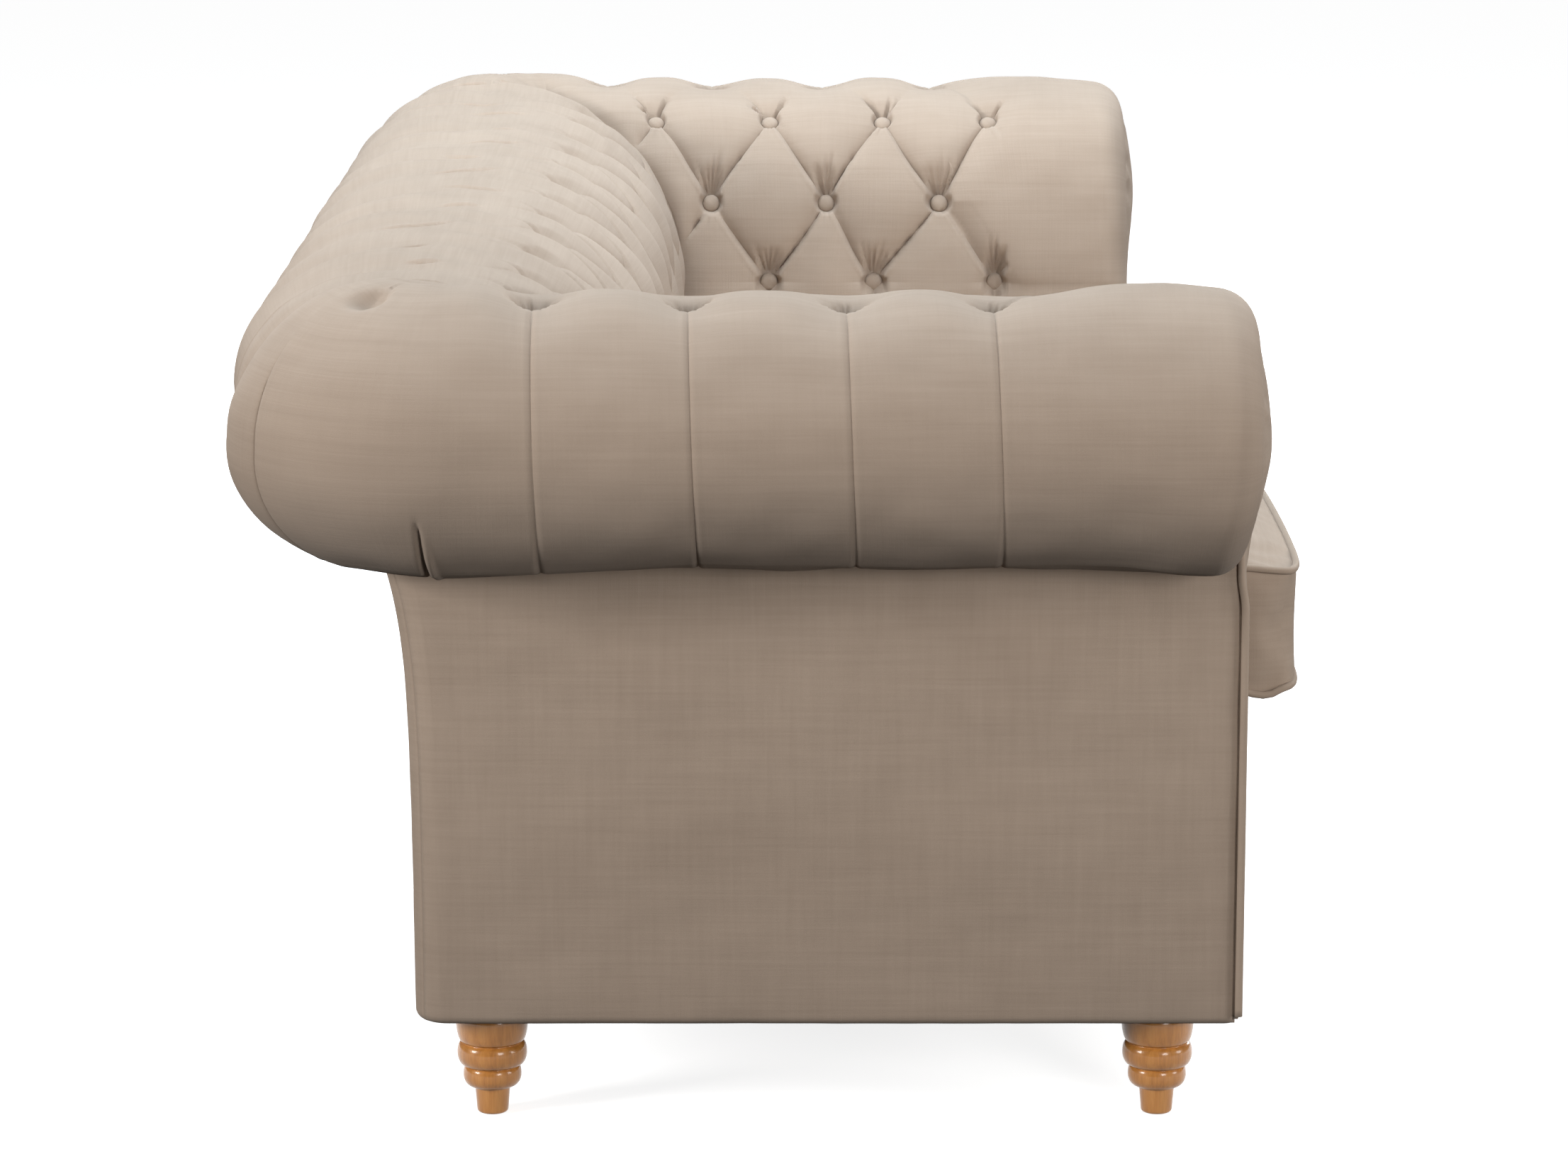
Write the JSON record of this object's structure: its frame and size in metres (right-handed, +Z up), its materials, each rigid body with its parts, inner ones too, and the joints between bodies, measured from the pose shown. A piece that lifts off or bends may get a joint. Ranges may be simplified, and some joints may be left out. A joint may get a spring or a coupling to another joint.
{
  "type": "chesterfield sofa",
  "caption": "Rolled-arm sofa with deep-buttoned arms and back of one height, loose piped seat cushions and short turned wooden screw-in legs.",
  "frame": {"origin": "on the floor, under the middle of the sofa's outline", "axes": "+X along the sofa's width, to the right as seen from the front; -Y to the front; +Z up"},
  "size_m": [2.05, 0.96, 0.75],
  "materials": {
    "velvet": "taupe slub-weave velvet",
    "cushion_velvet": "taupe slub-weave velvet, piped",
    "cushion_foam": "open-cell foam",
    "pad_foam": "open-cell foam",
    "frame_timber": "sawn beech",
    "leg_timber": "honey gloss varnish",
    "fixing_steel": "zinc plated",
    "spring_steel": "drawn wire",
    "deck_felt": "needled felt",
    "dust_cloth": "black non-woven cloth"
  },
  "bodies": {
    "sofa_frame": {"left_arm_buttoned_cover": "velvet", "right_arm_buttoned_cover": "velvet", "back_buttoned_cover": "velvet", "left_outside_panel": "velvet", "right_outside_panel": "velvet", "back_outside_panel": "velvet", "left_arm_facing": "velvet", "right_arm_facing": "velvet", "front_border": "velvet", "left_arm_foam": "pad_foam", "right_arm_foam": "pad_foam", "back_foam": "pad_foam", "front_rail": "frame_timber", "back_rail": "frame_timber", "back_top_rail": "frame_timber", "left_side_rail": "frame_timber", "left_arm_top_rail": "frame_timber", "left_rear_post": "frame_timber", "left_arm_front_post": "frame_timber", "left_seat_brace": "frame_timber", "left_back_upright": "frame_timber", "right_side_rail": "frame_timber", "right_arm_top_rail": "frame_timber", "right_rear_post": "frame_timber", "right_arm_front_post": "frame_timber", "right_seat_brace": "frame_timber", "right_back_upright": "frame_timber", "corner_block_front_left": "frame_timber", "corner_block_front_right": "frame_timber", "corner_block_rear_left": "frame_timber", "corner_block_rear_right": "frame_timber", "tee_nut_front_left": "fixing_steel", "tee_nut_front_right": "fixing_steel", "tee_nut_rear_left": "fixing_steel", "tee_nut_rear_right": "fixing_steel", "seat_spring_1": "spring_steel", "seat_spring_2": "spring_steel", "seat_spring_3": "spring_steel", "seat_spring_4": "spring_steel", "seat_spring_5": "spring_steel", "seat_spring_6": "spring_steel", "front_spring_clip_rail": "spring_steel", "back_spring_clip_rail": "spring_steel", "seat_deck": "deck_felt", "dust_cover": "dust_cloth"},
    "left_cushion": {"left_cushion_cover": "cushion_velvet", "left_cushion_core": "cushion_foam"},
    "middle_cushion": {"middle_cushion_cover": "cushion_velvet", "middle_cushion_core": "cushion_foam"},
    "right_cushion": {"right_cushion_cover": "cushion_velvet", "right_cushion_core": "cushion_foam"},
    "front_left_leg": {"leg_front_left": "leg_timber", "hanger_bolt_front_left": "fixing_steel"},
    "front_right_leg": {"leg_front_right": "leg_timber", "hanger_bolt_front_right": "fixing_steel"},
    "rear_left_leg": {"leg_rear_left": "leg_timber", "hanger_bolt_rear_left": "fixing_steel"},
    "rear_right_leg": {"leg_rear_right": "leg_timber", "hanger_bolt_rear_right": "fixing_steel"}
  },
  "joints": [
    {"name": "left_cushion_lift", "type": "slide", "parent": "sofa_frame", "child": "left_cushion", "axis": [0, 0, 1], "range_m": [0, 0.45]},
    {"name": "middle_cushion_lift", "type": "slide", "parent": "sofa_frame", "child": "middle_cushion", "axis": [0, 0, 1], "range_m": [0, 0.45]},
    {"name": "right_cushion_lift", "type": "slide", "parent": "sofa_frame", "child": "right_cushion", "axis": [0, 0, 1], "range_m": [0, 0.45]},
    {"name": "front_left_leg_turn", "type": "hinge", "parent": "sofa_frame", "child": "front_left_leg", "pos_m": [-0.8079, -0.3519, 0], "axis": [0, 0, 1], "continuous": true},
    {"name": "front_right_leg_turn", "type": "hinge", "parent": "sofa_frame", "child": "front_right_leg", "pos_m": [0.8079, -0.3519, 0], "axis": [0, 0, 1], "continuous": true},
    {"name": "rear_left_leg_turn", "type": "hinge", "parent": "sofa_frame", "child": "rear_left_leg", "pos_m": [-0.8079, 0.2429, 0], "axis": [0, 0, 1], "continuous": true},
    {"name": "rear_right_leg_turn", "type": "hinge", "parent": "sofa_frame", "child": "rear_right_leg", "pos_m": [0.8079, 0.2429, 0], "axis": [0, 0, 1], "continuous": true}
  ]
}
